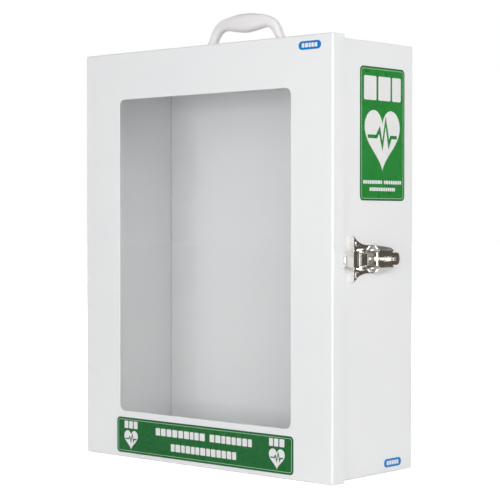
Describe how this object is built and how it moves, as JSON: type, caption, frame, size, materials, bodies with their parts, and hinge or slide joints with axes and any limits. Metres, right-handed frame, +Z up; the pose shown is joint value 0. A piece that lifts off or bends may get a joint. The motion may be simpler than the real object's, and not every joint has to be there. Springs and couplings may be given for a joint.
{
  "type": "defibrillator wall cabinet",
  "caption": "White sheet-steel wall cabinet for a defibrillator, with a windowed door hinged on the left, a carrying handle on top and a draw latch with padlock eye on the right side.",
  "frame": {"origin": "centre of the four wall holes, on the cabinet's outer back face", "axes": "+X to the right as one faces the door, +Y back into the wall, +Z up"},
  "size_m": [0.3573, 0.1283, 0.4573],
  "materials": {
    "powder_coat": "semi-gloss white powder coat with a fine texture",
    "handle_plastic": "satin moulded plastic",
    "clear_pane": "clear polished acrylic",
    "bright_nickel": "polished nickel plating",
    "zinc_steel": "bright zinc plating",
    "bumper_rubber": "matt black rubber",
    "foam_tape": "matt black foam tape",
    "green_vinyl": "glossy green vinyl sticker",
    "blue_vinyl": "glossy blue vinyl sticker",
    "white_print": "white print on vinyl"
  },
  "bodies": {
    "cabinet": {"case_shell": "powder_coat", "back_panel": "powder_coat", "door_bumpers": "bumper_rubber", "top_handle": "handle_plastic", "handle_screws": "zinc_steel", "handle_washers": "zinc_steel", "hinge_case_leaf_upper": "powder_coat", "hinge_case_leaf_lower": "powder_coat", "hinge_pin_upper": "zinc_steel", "hinge_pin_lower": "zinc_steel", "hinge_rivets": "powder_coat", "latch_base": "bright_nickel", "latch_rivets": "bright_nickel", "lever_pivots": "bright_nickel", "padlock_staple": "bright_nickel", "side_label": "green_vinyl", "side_badge": "blue_vinyl"},
    "door": {"door_panel": "powder_coat", "window_gasket": "foam_tape", "window_pane": "clear_pane", "pane_clips": "zinc_steel", "pane_nuts": "zinc_steel", "hinge_door_leaf_upper": "powder_coat", "hinge_door_leaf_lower": "powder_coat", "door_keeper": "powder_coat", "front_label": "green_vinyl", "front_badge": "blue_vinyl"},
    "latch_lever": {"latch_lever": "bright_nickel", "hook_pin": "bright_nickel"},
    "draw_hook": {"draw_hook": "bright_nickel"}
  },
  "joints": [
    {"name": "door_hinge", "type": "hinge", "parent": "cabinet", "child": "door", "pos_m": [-0.1696, -0.1072, 0], "axis": [0, 0, -1], "range_deg": [0, 180]},
    {"name": "lever_pivot", "type": "hinge", "parent": "cabinet", "child": "latch_lever", "pos_m": [0.1728, -0.0915, -0.0001], "axis": [0, 0, -1], "range_deg": [0, 120]},
    {"name": "hook_pivot", "type": "hinge", "parent": "latch_lever", "child": "draw_hook", "pos_m": [0.17, -0.0805, -0.0001], "axis": [0, 0, -1], "range_deg": [-120, 0]}
  ],
  "couplings": [
    {"joint": "hook_pivot", "follows": "lever_pivot", "ratio": -1}
  ]
}
